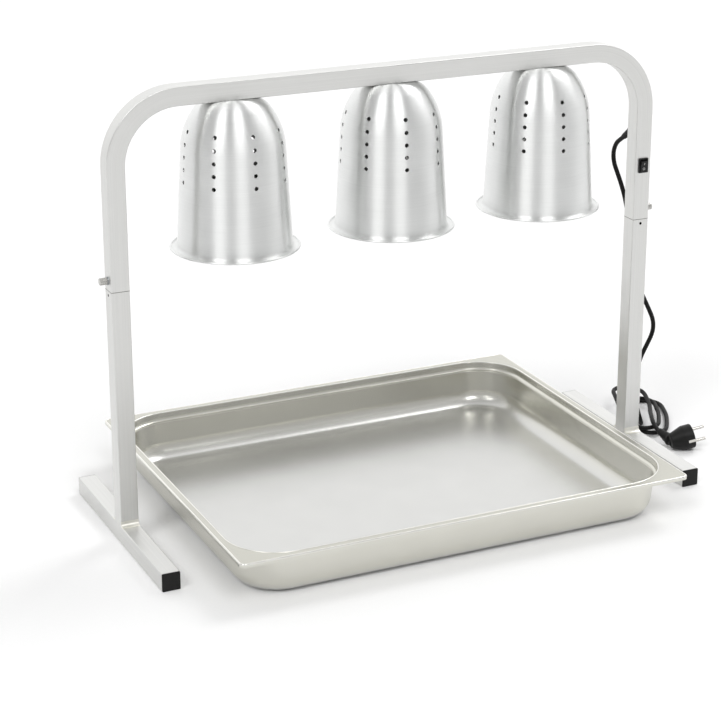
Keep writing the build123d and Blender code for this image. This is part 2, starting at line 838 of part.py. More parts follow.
cord_routes = {"cord_drop": drop_points, "cord_plug_lead": plug_lead_points}
for name, points in cord_routes.items():
    radii = cord_radii(points)
    with BuildPart() as cord_tube:
        with BuildLine() as cord_path:
            FilletPolyline(*points, radius=radii)
        with BuildSketch(Plane(origin=points[0], z_dir=points[1] - points[0])):
            Circle(cord_diameter / 2)
        sweep(path=cord_path.line)
    save(cord_tube, name)
    cord_length = cord_path.wires()[0].length
    expected = pi * cord_diameter**2 / 4 * cord_length
    print(f"{name} length {cord_length:.0f}, volume ratio {cord_tube.part.volume / expected:.4f}")
    print(name, "radii", [round(radius) for radius in radii])

# Plug: a right-angled body that lies tilted on the floor, with its sleeve towards the cord
yaw = radians(plug_yaw)
pitch = radians(plug_pitch)
plug_way = Vector(cos(yaw) * cos(pitch), sin(yaw) * cos(pitch), sin(pitch))
plug_side = Vector(sin(yaw), -cos(yaw), 0)
plug_rest = plug_radius * cos(pitch) + plug_collar * sin(pitch) + floor_gap
plug_face = Plane(origin=(plug_face_x, plug_face_y, plug_rest), x_dir=plug_side, z_dir=plug_way)
relief_tip_at = plug_lead_points[-1]
relief_way = (plug_lead_points[-1] - plug_lead_points[-2]).normalized()
strip_centre = plug_radius + strip_proud - strip_thickness / 2

with BuildPart() as plug_earth_strips:
    with BuildSketch(plug_face):
        with Locations((-strip_centre, 0), (strip_centre, 0)):
            Rectangle(strip_thickness, strip_width)
    extrude(amount=-strip_length)
save(plug_earth_strips, "plug_earth_strips")

with BuildPart() as plug_body:
    with BuildSketch(plug_face):
        Circle(plug_radius)
    extrude(amount=-plug_collar)
    with BuildSketch(plug_face.offset(-plug_collar)):
        Circle(plug_radius)
    with BuildSketch(plug_face.offset(-plug_length)):
        Circle(plug_tail_radius)
    loft()
    plug_ends = plug_body.edges().filter_by(GeomType.CIRCLE).sort_by(Axis((0, 0, 0), plug_way))
    fillet([plug_ends[0], plug_ends[-1]], radius=plug_edge)
    with BuildSketch(Plane(origin=relief_tip_at, z_dir=relief_way)):
        Circle(relief_tip)
    with BuildSketch(Plane(origin=relief_tip_at + relief_way * relief_length, z_dir=relief_way)):
        Circle(relief_root)
    loft()
    add(plug_earth_strips.part, mode=Mode.SUBTRACT)
save(plug_body, "plug_body")

with BuildPart() as plug_pins:
    with BuildSketch(plug_face):
        with Locations((0, -pin_spacing / 2), (0, pin_spacing / 2)):
            Circle(pin_diameter / 2)
    extrude(amount=pin_length)
    pin_tips = plug_pins.faces().filter_by(GeomType.PLANE).sort_by(Axis((0, 0, 0), plug_way))[-2:]
    fillet(pin_tips.edges(), radius=pin_edge)
save(plug_pins, "plug_pins")

# Pan: a turned-down rim, a straight collar, a narrow ledge and a drafted tub
mouth_length = pan_length - 2 * pan_flange
mouth_width = pan_width - 2 * pan_flange
tub_top = pan_depth - pan_collar


def pan_level(z, up=1):
    """Level plane over the middle of the pan, facing up or down."""
    return Plane(origin=(pan_aside, 0, z), x_dir=(1, 0, 0), z_dir=(0, 0, up))


def pan_tub(inset):
    """Drafted tub below the collar, drawn in by inset all round and at the floor."""
    growth = 2 * (pan_wall - pan_step - inset)
    with BuildPart() as tub:
        with BuildSketch(pan_level(tub_top, -1)):
            RectangleRounded(mouth_length + growth, mouth_width + growth, pan_mouth_corner + growth / 2)
        extrude(amount=tub_top - inset, taper=pan_draft)
        fillet(tub.faces().sort_by(Axis.Z)[0].edges(), radius=pan_floor_round - inset)
    return tub.part


def is_ledge(face):
    """Whether a level face is the ledge below the collar."""
    return abs(face.center().Z - tub_top) < pan_wall / 2


tub_outside = pan_tub(0)
tub_inside = pan_tub(pan_wall)
with BuildPart() as pan:
    with BuildSketch(pan_level(pan_depth - pan_lip)):
        RectangleRounded(pan_length, pan_width, pan_corner)
    extrude(amount=pan_lip)
    fillet(pan.faces().sort_by(Axis.Z)[-1].edges(), radius=pan_wall)
    with BuildSketch(pan_level(pan_depth - pan_lip)):
        RectangleRounded(pan_length - 2 * pan_wall, pan_width - 2 * pan_wall, pan_corner - pan_wall)
    extrude(amount=pan_lip - pan_wall, mode=Mode.SUBTRACT)
    with BuildSketch(pan_level(tub_top - pan_wall)):
        RectangleRounded(mouth_length + 2 * pan_wall, mouth_width + 2 * pan_wall, pan_mouth_corner + pan_wall)
    extrude(amount=pan_collar + pan_wall - pan_wall / 2)
    add(tub_outside)
    with BuildSketch(pan_level(tub_top)):
        RectangleRounded(mouth_length, mouth_width, pan_mouth_corner)
    extrude(amount=pan_collar, mode=Mode.SUBTRACT)
    add(tub_inside, mode=Mode.SUBTRACT)
    ledge = pan.faces().filter_by(Axis.Z).filter_by(is_ledge)[0]
    fillet(ledge.inner_wires().edges(), radius=pan_step_round)
    fillet(pan.faces().sort_by(Axis.Z)[-1].inner_wires().edges(), radius=pan_mouth_round)
save(pan, "pan")
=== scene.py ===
from math import atan2, cos, pi, radians, sin

import bmesh
import bpy
from mathutils import Matrix, Vector


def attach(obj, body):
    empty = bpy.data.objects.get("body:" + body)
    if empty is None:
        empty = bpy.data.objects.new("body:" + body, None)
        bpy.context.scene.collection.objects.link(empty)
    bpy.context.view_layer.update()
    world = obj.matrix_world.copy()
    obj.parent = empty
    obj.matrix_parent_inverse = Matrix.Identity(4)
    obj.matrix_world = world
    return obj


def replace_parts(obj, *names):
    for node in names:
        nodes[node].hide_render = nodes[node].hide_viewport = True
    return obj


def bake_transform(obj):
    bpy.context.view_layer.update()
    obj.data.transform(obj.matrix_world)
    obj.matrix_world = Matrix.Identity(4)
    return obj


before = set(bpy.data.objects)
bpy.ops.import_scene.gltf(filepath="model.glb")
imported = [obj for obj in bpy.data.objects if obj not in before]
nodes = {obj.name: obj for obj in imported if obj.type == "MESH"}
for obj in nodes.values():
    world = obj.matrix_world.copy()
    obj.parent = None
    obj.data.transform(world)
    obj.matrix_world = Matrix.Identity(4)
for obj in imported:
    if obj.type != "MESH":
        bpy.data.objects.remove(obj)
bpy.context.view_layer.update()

# Food heat lamp: finishes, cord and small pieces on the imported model.
# Metres. X runs along the bar, Y from front to back, Z up from the floor.

MM = 0.001
merge_gap = 0.001 * MM
sharp_corner = radians(40)
scene = bpy.context.scene

# Camera at the photograph's viewing angle, for a frame of 721 by 725 pixels
frame_pixels = 725
view_focal = 2121.27
view_yaw = 0.44328
view_pitch = 0.33183
view_roll = 0.00164
view_from = Vector((-1.18976, -2.46576, 1.20239))
view_offset = (17.59, -47.87)

camera_data = bpy.data.cameras.new("camera")
camera_data.sensor_width = 36.0
camera_data.lens = view_focal * camera_data.sensor_width / frame_pixels
camera_data.shift_x = -view_offset[0] / frame_pixels
camera_data.shift_y = view_offset[1] / frame_pixels
camera = bpy.data.objects.new("camera", camera_data)
scene.collection.objects.link(camera)
camera.matrix_world = (
    Matrix.Translation(view_from)
    @ Matrix.Rotation(-view_yaw, 4, "Z")
    @ Matrix.Rotation(pi / 2 - view_pitch, 4, "X")
    @ Matrix.Rotation(view_roll, 4, "Z")
)
scene.camera = camera


def srgb(code):
    """Linear colour from an sRGB hex value."""
    channels = [int(code[i : i + 2], 16) / 255 for i in (1, 3, 5)]
    linear = [c / 12.92 if c <= 0.04045 else ((c + 0.055) / 1.055) ** 2.4 for c in channels]
    return (*linear, 1.0)


def wire(tree, node, inputs):
    """Set inputs of a node; each is a value or the socket that it is linked from."""
    for name, value in inputs.items():
        if isinstance(value, bpy.types.NodeSocket):
            tree.links.new(value, node.inputs[name])
        else:
            node.inputs[name].default_value = value


def add(tree, kind, inputs=(), stops=(), **settings):
    """A shader node with its settings, its inputs and, where it has them, its colour stops."""
    node = tree.nodes.new("ShaderNode" + kind)
    for name, value in settings.items():
        setattr(node, name, value)
    wire(tree, node, dict(inputs))
    if stops:
        tones = node.color_ramp.elements
        tones.remove(tones[1])
        tones[0].position = stops[0][0]
        tones[0].color = srgb(stops[0][1])
        for position, code in stops[1:]:
            tones.new(position).color = srgb(code)
    return node


def new_material(name):
    """An empty material: itself, its tree, its surface shader and the object coordinates."""
    material = bpy.data.materials.new(name)
    material.use_nodes = True
    tree = material.node_tree
    tree.nodes.clear()
    shader = add(tree, "BsdfPrincipled")
    add(tree, "OutputMaterial", {"Surface": shader.outputs[0]})
    place = add(tree, "TexCoord").outputs["Object"]
    return material, tree, shader, place


def dress(material, *names):
    """Give CAD nodes a material."""
    for name in names:
        mesh = nodes[name].data
        mesh.materials.clear()
        mesh.materials.append(material)


def close_shape(shape):
    """Merge a shape's doubles, turn its faces outwards and shade them smooth."""
    bmesh.ops.remove_doubles(shape, verts=shape.verts, dist=merge_gap)
    bmesh.ops.recalc_face_normals(shape, faces=shape.faces)
    for face in shape.faces:
        face.smooth = True


def add_mesh(name, shape, material):
    """An object at the origin from a bmesh; its corners stay sharp where it is smooth."""
    for edge in shape.edges:
        edge.smooth = edge.calc_face_angle(0) < sharp_corner
    mesh = bpy.data.meshes.new(name)
    shape.to_mesh(mesh)
    shape.free()
    mesh.materials.append(material)
    made = bpy.data.objects.new(name, mesh)
    scene.collection.objects.link(made)
    return made


def make_piece(name, shape, material, body):
    """A finished piece from a bmesh, riding on a body."""
    piece = add_mesh(name, shape, material)
    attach(piece, body)
    return piece


# Most of a noise pattern's values lie between these two
noise_low = 0.3
noise_high = 0.7
noise_span = {"From Min": noise_low, "From Max": noise_high}

# Aluminium tube, extruded and satin: pale, with draw lines along each run and faint clouds.
# Real draw lines are finer than a pixel, so they are drawn coarse enough to show.
draw_line = 1.6 * MM
draw_run = 220 * MM
handling_cloud = 45 * MM
bend_start_x = 302.5 * MM
bend_start_z = 510.5 * MM


def extruded_aluminium(name, grain):
    """Satin tube with its draw lines along an axis, or along the arch and round its bends."""
    material, tree, shader, place = new_material(name)
    parts = add(tree, "SeparateXYZ", {0: place}).outputs
    if grain == "arch":
        side = add(tree, "Math", {0: parts["X"]}, operation="ABSOLUTE").outputs[0]
        side = add(tree, "Math", {0: side, 1: bend_start_x}, operation="SUBTRACT").outputs[0]
        side = add(tree, "Math", {0: side, 1: 0.0}, operation="MAXIMUM").outputs[0]
        rise = add(tree, "Math", {0: parts["Z"], 1: bend_start_z}, operation="SUBTRACT").outputs[0]
        rise = add(tree, "Math", {0: rise, 1: 0.0}, operation="MAXIMUM").outputs[0]
        out = add(tree, "CombineXYZ", {"X": side, "Z": rise}).outputs[0]
        out = add(tree, "VectorMath", {0: out}, operation="LENGTH").outputs["Value"]
        along = add(tree, "Math", {0: parts["X"], 1: parts["Z"]}).outputs[0]
        order = {"X": out, "Y": parts["Y"], "Z": along}
    elif grain == "Y":
        order = {"X": parts["X"], "Y": parts["Z"], "Z": parts["Y"]}
    else:
        order = {"X": parts["X"], "Y": parts["Y"], "Z": parts["Z"]}
    threads = add(tree, "CombineXYZ", order).outputs[0]
    spacing = (1 / draw_line, 1 / draw_line, 1 / draw_run)
    threads = add(tree, "VectorMath", {0: threads, 1: spacing}, operation="MULTIPLY").outputs[0]
    lines = add(tree, "TexNoise", {"Vector": threads, "Scale": 1.0, "Detail": 3.0}).outputs["Fac"]
    cloudy = {"Vector": place, "Scale": 1 / handling_cloud, "Detail": 3.0}
    clouds = add(tree, "TexNoise", cloudy).outputs["Fac"]
    tone = add(tree, "Math", {0: lines, 1: clouds}, operation="MULTIPLY").outputs[0]
    ramp = add(tree, "ValToRGB", {"Fac": tone}, ((0.08, "#d3d3d1"), (0.48, "#dddddb")))
    rough = add(tree, "MapRange", {"Value": clouds, **noise_span, "To Min": 0.34, "To Max": 0.46})
    bump = add(tree, "Bump", {"Height": lines, "Strength": 0.12, "Distance": 0.03 * MM})
    surface = {
        "Base Color": ramp.outputs["Color"],
        "Roughness": rough.outputs[0],
        "Normal": bump.outputs[0],
        "Metallic": 1.0,
    }
    wire(tree, shader, surface)
    return material


dress(extruded_aluminium("aluminium_extruded_satin_arch", "arch"), "arch_tube")
dress(extruded_aluminium("aluminium_extruded_satin_leg", "Z"), "lower_leg_left", "lower_leg_right")
dress(extruded_aluminium("aluminium_extruded_satin_foot", "Y"), "foot_bar_left", "foot_bar_right")

# Aluminium spun on a lathe: fine rings round the axis, so that highlights run as long bands
# up the wall and dome. Real rings are finer than a pixel, so they are drawn coarse enough to show.
# A ring changes a little on its way round, so many times to a radian.
lathe_ring = 0.9 * MM
ring_changes = 1.2
wiping_cloud = 30 * MM


def spun_aluminium(name, axis_x):
    """Spun shade with its rings about an upright axis."""
    material, tree, shader, place = new_material(name)
    centred = add(tree, "Mapping", {"Vector": place, "Location": (-axis_x, 0, 0)}).outputs[0]
    parts = add(tree, "SeparateXYZ", {0: centred}).outputs
    flat = add(tree, "CombineXYZ", {"X": parts["X"], "Y": parts["Y"]}).outputs[0]
    radius = add(tree, "VectorMath", {0: flat}, operation="LENGTH").outputs["Value"]
    turn = add(tree, "Math", {0: parts["Y"], 1: parts["X"]}, operation="ARCTAN2").outputs[0]
    rings = add(tree, "CombineXYZ", {"X": parts["Z"], "Y": radius, "Z": turn}).outputs[0]
    spacing = (1 / lathe_ring, 1 / lathe_ring, ring_changes)
    rings = add(tree, "VectorMath", {0: rings, 1: spacing}, operation="MULTIPLY").outputs[0]
    lines = add(tree, "TexNoise", {"Vector": rings, "Scale": 1.0, "Detail": 2.0}).outputs["Fac"]
    cloudy = {"Vector": place, "Scale": 1 / wiping_cloud, "Detail": 2.0}
    clouds = add(tree, "TexNoise", cloudy).outputs["Fac"]
    ramp = add(tree, "ValToRGB", {"Fac": lines}, ((0.25, "#e6e7e6"), (0.75, "#ebeceb")))
    rough = add(tree, "MapRange", {"Value": clouds, **noise_span, "To Min": 0.37, "To Max": 0.41})
    bump = add(tree, "Bump", {"Height": lines, "Strength": 0.04, "Distance": 0.02 * MM})
    tangent = add(tree, "Tangent", direction_type="RADIAL", axis="Z")
    surface = {
        "Base Color": ramp.outputs["Color"],
        "Roughness": rough.outputs[0],
        "Normal": bump.outputs[0],
        "Tangent": tangent.outputs[0],
        "Metallic": 1.0,
        "Anisotropic": 1.0,
        "Anisotropic Rotation": 0.25,
    }
    wire(tree, shader, surface)
    return material


shade_places = {"left": -225 * MM, "middle": 0.0, "right": 225 * MM}
for side, x in shade_places.items():
    dress(spun_aluminium(f"aluminium_spun_{side}", x), f"shade_{side}", f"shade_rim_{side}")


# Plain finishes: two close tones in a speckle, with roughness and a little relief from it.
# Real grit on them is finer than a pixel, so each speckle is drawn coarse enough to show.
def speckled(name, dark, light, grit, roughness, relief, **sockets):
    """A plain finish from its two tones, speckle size, roughness limits and depth of relief."""
    material, tree, shader, place = new_material(name)
    grain = {"Vector": place, "Scale": 1 / grit, "Detail": 3.0}
    speckle = add(tree, "TexNoise", grain).outputs["Fac"]
    ramp = add(tree, "ValToRGB", {"Fac": speckle}, ((noise_low, dark), (noise_high, light)))
    limits = {"To Min": roughness[0], "To Max": roughness[1]}
    rough = add(tree, "MapRange", {"Value": speckle, **noise_span, **limits})
    bump = add(tree, "Bump", {"Height": speckle, "Strength": 0.3, "Distance": relief})
    surface = {
        "Base Color": ramp.outputs["Color"],
        "Roughness": rough.outputs[0],
        "Normal": bump.outputs[0],
    }
    wire(tree, shader, surface)
    wire(tree, shader, {socket.replace("_", " "): value for socket, value in sockets.items()})
    return material


# Aluminium weld, ground: lighter and warmer than the satin tube, which is a painted highlight on
# its smooth fillet
weld = speckled(
    "aluminium_weld_ground_painted_highlight", "#e3e1d8", "#ecebe3", 6 * MM, (0.3, 0.36), 0.02 * MM, Metallic=1.0
)
dress(weld, "leg_welds")

# Polyethylene, moulded: soft black with a faint grain
polythene = speckled(
    "polyethylene_moulded_black", "#161616", "#222221", 0.8 * MM, (0.5, 0.65), 0.02 * MM,
    Specular_IOR_Level=0.2,
)
dress(polythene, "foot_end_caps")

# Steel, zinc plated: a cool grey shine
zinc = speckled(
    "steel_zinc_plated", "#9a9da0", "#b4b7ba", 3 * MM, (0.3, 0.42), 0.02 * MM, Metallic=1.0
)
dress(zinc, "spigot_left", "spigot_right", "clamp_nuts")
dress(zinc, "lamp_nipples", "nipple_nuts", "switch_terminals")

# Steel, blackened: dark, with a dull gleam
blackened = speckled(
    "steel_blackened", "#101010", "#242322", 0.6 * MM, (0.4, 0.55), 0.01 * MM, Metallic=1.0
)
dress(blackened, "spigot_grub_screws")

# Brass, nickel plated: a warm pale shine
knurled = speckled(
    "brass_nickel_plated", "#b9b8b4", "#cfcecb", 1.5 * MM, (0.25, 0.38), 0.02 * MM, Metallic=1.0
)
dress(knurled, "thumb_screw_left", "thumb_screw_right")

# Porcelain, glazed: cream white under a clear gloss
porcelain = speckled(
    "porcelain_glazed", "#e4e1d8", "#efece4", 4 * MM, (0.12, 0.2), 0.02 * MM, IOR=1.52
)
dress(porcelain, "lampholder_left", "lampholder_middle", "lampholder_right")

# Brass, drawn: yellow and bright
brass = speckled(
    "brass_drawn", "#c19a4c", "#d2ad62", 2 * MM, (0.25, 0.35), 0.01 * MM, Metallic=1.0
)
dress(brass, "holder_shells", "holder_contacts")

# Bulb caps, nickel plated: a warm grey shine
cap_nickel = speckled(
    "nickel_plated_cap", "#b8b5ac", "#cac7bf", 2 * MM, (0.25, 0.35), 0.01 * MM, Metallic=1.0
)
dress(cap_nickel, "bulb_cap_left", "bulb_cap_middle", "bulb_cap_right")

# Nylon, moulded: deep black with a little gloss
nylon = speckled(
    "nylon_moulded_black", "#0d0d0d", "#151515", 0.5 * MM, (0.3, 0.4), 0.01 * MM,
    Specular_IOR_Level=0.3,
)
dress(nylon, "switch_housing", "rocker")

# Rubber boot, moulded: dull black
boot_rubber = speckled(
    "rubber_boot_black", "#151514", "#20201f", 1 * MM, (0.6, 0.75), 0.03 * MM, IOR=1.52
)
dress(boot_rubber, "switch_boot")

# Silicone sleeve, extruded: cream and matt
sleeve = speckled(
    "silicone_sleeve", "#cfc9b9", "#ded8c9", 2 * MM, (0.45, 0.6), 0.03 * MM, IOR=1.43
)
dress(sleeve, "wiring_loom")

# Rubber cord, extruded: black, with a soft light along it
cord_rubber = speckled(
    "rubber_cord_black", "#100f0f", "#1a1919", 0.9 * MM, (0.42, 0.58), 0.03 * MM,
    Specular_IOR_Level=0.15,
)
dress(cord_rubber, "supply_lead", "cord_gland", "cord_drop", "cord_hank", "cord_plug_lead")

# PVC plug, moulded: black, a little glossier than the cord
plug_rubber = speckled(
    "pvc_plug_black", "#121212", "#1c1c1b", 0.7 * MM, (0.38, 0.5), 0.02 * MM,
    Specular_IOR_Level=0.2,
)
dress(plug_rubber, "plug_body")

# Plug pins, nickel plated: bright
pin_nickel = speckled(
    "nickel_plated_pin", "#c4c2bd", "#d6d4cf", 1.5 * MM, (0.2, 0.3), 0.01 * MM, Metallic=1.0
)
dress(pin_nickel, "plug_pins", "plug_earth_strips")

# Stainless steel edge, rolled: smoother than the satin sheet beside it, and lighter in colour as a
# painted highlight along the edge
edge_steel_painted_highlight = speckled(
    "stainless_steel_rolled_edge", "#e2e1dc", "#eae9e4", 6 * MM, (0.2, 0.26), 0.005 * MM,
    Metallic=1.0,
)

# Seam line round each lower leg: dark grey, painted shade of the narrow gap where the tubes meet
seam_shade = speckled(
    "aluminium_seam_shade_edge", "#7f7f7b", "#8f8f8b", 1 * MM, (0.5, 0.6), 0.02 * MM, Metallic=1.0
)

# White print: chalky and matt
mark_white = speckled(
    "print_white", "#c9c9c7", "#dcdcda", 0.4 * MM, (0.5, 0.6), 0.005 * MM, IOR=1.5
)

# Bulb glass, blown: a mirror where it is silvered above the face, frosted white on the face.
# Real frost is finer than a pixel, so it is drawn coarse enough to show.
silver_height = 416 * MM
silver_fade = 2 * MM
frost_grain = 1.2 * MM
bulb, tree, shader, place = new_material("glass_reflector_bulb")
height = add(tree, "SeparateXYZ", {0: place}).outputs["Z"]
fade = {"From Min": silver_height - silver_fade, "From Max": silver_height + silver_fade}
silvered = add(tree, "MapRange", {"Value": height, **fade}).outputs[0]
frosty = {"Vector": place, "Scale": 1 / frost_grain, "Detail": 2.0}
frost = add(tree, "TexNoise", frosty).outputs["Fac"]
tint = add(tree, "ValToRGB", {"Fac": frost}, ((0.0, "#d9d9d6"), (1.0, "#f2f2ef")))
rough = add(tree, "MapRange", {"Value": silvered, "To Min": 0.45, "To Max": 0.12})
bump = add(tree, "Bump", {"Height": frost, "Strength": 0.2, "Distance": 0.02 * MM})
surface = {
    "Base Color": tint.outputs["Color"],
    "Metallic": silvered,
    "Roughness": rough.outputs[0],
    "Normal": bump.outputs[0],
}
wire(tree, shader, surface)
dress(bulb, "bulb_glass_left", "bulb_glass_middle", "bulb_glass_right")

# Stainless steel pan, pressed and satin: a darker, neutral floor and warmer walls, a painted
# reflection that stands for what each part of the one sheet faces, and a darker rim, which is
# painted shade where the flange turns from the light; all faintly clouded. Its gloss is even,
# because a gloss that varies draws thin lines on the sheet.
pan_top = 65 * MM
pan_cloud = 60 * MM
# Tones by height on one sheet: painted reflection on the floor and walls, painted shade on the rim
pan_painted_light_tones = ((0.03, "#cececc"), (0.25, "#d5d4cc"), (0.97, "#d5d4cc"), (0.985, "#c2c1b8"))
pan_steel, tree, shader, place = new_material("stainless_steel_satin")
cloudy = {"Vector": place, "Scale": 1 / pan_cloud, "Detail": 2.0}
clouds = add(tree, "TexNoise", cloudy).outputs["Fac"]
height = add(tree, "SeparateXYZ", {0: place}).outputs["Z"]
level = add(tree, "Math", {0: height, 1: pan_top}, operation="DIVIDE").outputs[0]
ramp = add(tree, "ValToRGB", {"Fac": level}, pan_painted_light_tones)
wear = add(tree, "MapRange", {"Value": clouds, **noise_span, "To Min": 0.98, "To Max": 1.01})
clouded = {0: ramp.outputs["Color"], "Scale": wear.outputs[0]}
tone = add(tree, "VectorMath", clouded, operation="SCALE").outputs["Vector"]
wire(tree, shader, {"Base Color": tone, "Roughness": 0.27, "Metallic": 1.0})
dress(pan_steel, "pan")

# Plug: a ribbed boot that widens from the cord into the body
boot_tip = Vector((437.9, -9.5, 15.9)) * MM
boot_way = Vector((0.066, -0.985, -0.164))
boot_profile = (
    (0, 0),
    (4.3, 0),
    (5.0, 1.2),
    (5.6, 6),
    (5.1, 7.4),
    (6.5, 12),
    (6.0, 13.4),
    (7.6, 18.5),
    (7.1, 20),
    (9.0, 28),
    (0, 34),
)
round_steps = 32
full_turn = {"cent": (0, 0, 0), "axis": (0, 0, 1), "angle": 2 * pi, "use_merge": True}
boot = bmesh.new()
boot_line = [boot.verts.new((away * MM, 0, along * MM)) for away, along in boot_profile]
boot_edges = [boot.edges.new(pair) for pair in zip(boot_line, boot_line[1:])]
bmesh.ops.spin(boot, geom=boot_line + boot_edges, steps=round_steps, **full_turn)
close_shape(boot)
boot_turn = boot_way.to_track_quat("Z", "Y").to_matrix().to_4x4()
bmesh.ops.transform(boot, matrix=Matrix.Translation(boot_tip) @ boot_turn, verts=boot.verts)
plug_boot = make_piece("plug_boot", boot, plug_rubber, "base")

# Cord: one rubber lead from the strain relief to the floor, through the hank and on to the plug.
# The hank is two and a half loops, counted in quarters; its sizes are in millimetres.
cord_diameter = 6.5 * MM
hank_turn = radians(20)
hank_centre = Vector((464, 75, 0))
hank_across = Vector((cos(hank_turn), -sin(hank_turn), 0))
hank_along = Vector((sin(hank_turn), cos(hank_turn), 0))
# Height on the floor, height of a layer, and the layer at the start of each quarter
hank_low = 3.3
hank_layer = 7.0
hank_layers = (0.0, 0.0, 0.1, 0.4, 0.7, 1.05, 1.35, 1.45, 2.95, 3.0, 2.3)
# Step from one loop to the next, then the middle, radius, slant and tips of the folds
loop_fan = 13
far_middle = 13.5
far_fold = 24.0
far_slant = 0.12
far_tips = (68, 60, 74)
near_middle = -0.5
near_fold = 25.5
near_tips = (72, 71)
# Steps round a fold, its middle step, the steps to a quarter, and the straight run beside it
fold_step = radians(30)
fold_steps = 6
fold_middle = 3
quarter_steps = 7
run_in = 14
# Right run: points across and along, their shift on the next loop, and the length of a quarter
right_run = ((37, 22), (36, 2), (32, -20), (27, -42))
right_run_fan = 14.5
right_run_back = 8
quarter_length = 90


def hank_point(across, along, quarter):
    """Point of the hank from its place in plan; the quarters passed give its height."""
    before = min(int(quarter), len(hank_layers) - 2)
    share = quarter - before
    layer = hank_layers[before] * (1 - share) + hank_layers[before + 1] * share
    height = Vector((0, 0, hank_low + hank_layer * layer))
    return hank_centre + hank_across * across + hank_along * along + height


def far_point(loop, step):
    """Point in the far half of a loop, from its left run round the fold to its right run."""
    turn = fold_step * max(step, 0)
    across = -far_fold * cos(turn)
    along = far_tips[loop] + far_fold * (sin(turn) - 1) - far_slant * across
    if step < 0:
        along -= run_in
    quarter = 4 * loop + 1 + (step - fold_middle) / quarter_steps
    return hank_point(far_middle - loop_fan * loop + across, along, quarter)


def near_point(loop, step):
    """Point in the near half of a loop, from its right run round the fold to the next left run."""
    turn = fold_step * min(step, fold_steps)
    across = near_fold * cos(turn)
    along = near_tips[loop] + near_fold * (sin(turn) - 1)
    if step > fold_steps:
        along -= run_in
    quarter = 4 * loop + 3 + (step - fold_middle) / quarter_steps
    return hank_point(near_middle - loop_fan * loop + across, -along, quarter)


hank = [hank_point(-9, 0, 0)]
for loop in range(2):
    hank += [far_point(loop, step) for step in range(-1, fold_steps + 1)]
    for across, along in right_run:
        quarter = 4 * loop + 2 - along / quarter_length
        spot = (across - right_run_fan * loop, along - right_run_back * loop)
        hank.append(hank_point(*spot, quarter))
    hank += [near_point(loop, step) for step in range(1, fold_steps + 2)]
hank += [far_point(2, step) for step in range(-1, fold_steps + 1)]
hank += [hank_point(11, 22, 9.75), hank_point(10, 2, 10)]

cord_to_floor = (
    (384.0, 34.66, 460.23),
    (384.0, 44.5, 453.34),
    (384.0, 54.3, 446.5),
    (384.6, 62.6, 432.8),
    (385.6, 62.5, 416.5),
    (387.0, 53.8, 402.3),
    (388.8, 45.0, 387.5),
    (391.0, 38.3, 371.5),
    (393.5, 34.0, 352.0),
    (396.2, 31.2, 330.0),
    (399.5, 29.0, 306.0),
    (402.6, 27.8, 280.0),
    (407.6, 27.2, 255.0),
    (414.8, 27.0, 234.0),
    (423.0, 27.0, 216.8),
    (433.4, 27.0, 197.0),
    (442.9, 27.0, 177.2),
    (442.9, 27.0, 158.8),
    (432.4, 27.0, 139.1),
    (422.4, 27.0, 121.0),
    (417.6, 27.0, 101.0),
    (416.0, 27.5, 80.0),
    (418.4, 28.5, 60.0),
    (423.4, 30.5, 40.0),
    (431.0, 34.5, 23.0),
    (439.0, 41.5, 10.5),
    (446.5, 53.2, 3.3),
    (453.3, 72.0, 3.3),
)
cord_to_plug = (
    (460.3, 50.8, 19.9),
    (453.0, 36.5, 21.2),
    (446.5, 24.5, 21.6),
    (441.3, 12.5, 20.6),
    (438.3, 1.0, 17.8),
    (437.6, -6.5, 16.4),
    (438.0, -12.5, 15.4),
)
cord_route = [Vector(point) * MM for point in (*cord_to_floor, *hank, *cord_to_plug)]
cord_curve = bpy.data.curves.new("cord_route", "CURVE")
cord_curve.dimensions = "3D"
cord_curve.resolution_u = 6
cord_curve.bevel_resolution = 5
cord_curve.use_fill_caps = True
spline = cord_curve.splines.new("NURBS")
spline.points.add(len(cord_route) - 1)
for control, point in zip(spline.points, cord_route):
    control.co = (*point, 1.0)
spline.order_u = 3
spline.use_endpoint_u = True
cord_line = bpy.data.objects.new("cord_route", cord_curve)
scene.collection.objects.link(cord_line)


def mesh_of(curve):
    """Mesh of a curve as it stands."""
    bpy.context.view_layer.update()
    shown = curve.evaluated_get(bpy.context.evaluated_depsgraph_get())
    return bpy.data.meshes.new_from_object(shown)


line_mesh = mesh_of(cord_line)
cord_curve.bevel_depth = cord_diameter / 2
cord_mesh = mesh_of(cord_line)
bpy.data.objects.remove(cord_line)
bpy.data.meshes.remove(line_mesh)
cord_mesh.name = "cord_flex"
cord_mesh.materials.clear()
cord_mesh.materials.append(cord_rubber)
cord = bpy.data.objects.new("cord_flex", cord_mesh)
scene.collection.objects.link(cord)
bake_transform(cord)
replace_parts(cord, "cord_drop", "cord_hank", "cord_plug_lead")

# Marks on the rocker: a bar on its upper face and a ring on its lower face
rocker_pivot = Vector((387.5, -11.5, 428.75)) * MM
rocker_tilt = radians(10)
rocker_reach = 7.6 * MM
rocker_end = 5.4 * MM
rocker_waist = 4.2 * MM
rocker_dish = atan2(rocker_end - rocker_waist, rocker_reach)
mark_bar = (0.6 * MM, 3.4 * MM, 0.24 * MM)
mark_round = 0.05 * MM
mark_ring = 1.5 * MM
mark_line = 0.24 * MM


def rocker_face(way):
    """Place of a rocker face's middle, with its local Z outwards and its local Y up the face."""
    middle = Vector((0, -(rocker_end + rocker_waist) / 2, way * rocker_reach / 2))
    turn = Matrix.Rotation(rocker_tilt, 4, "X") @ Matrix.Translation(middle)
    slope = Matrix.Rotation(pi / 2 + way * rocker_dish, 4, "X")
    return Matrix.Translation(rocker_pivot) @ turn @ slope


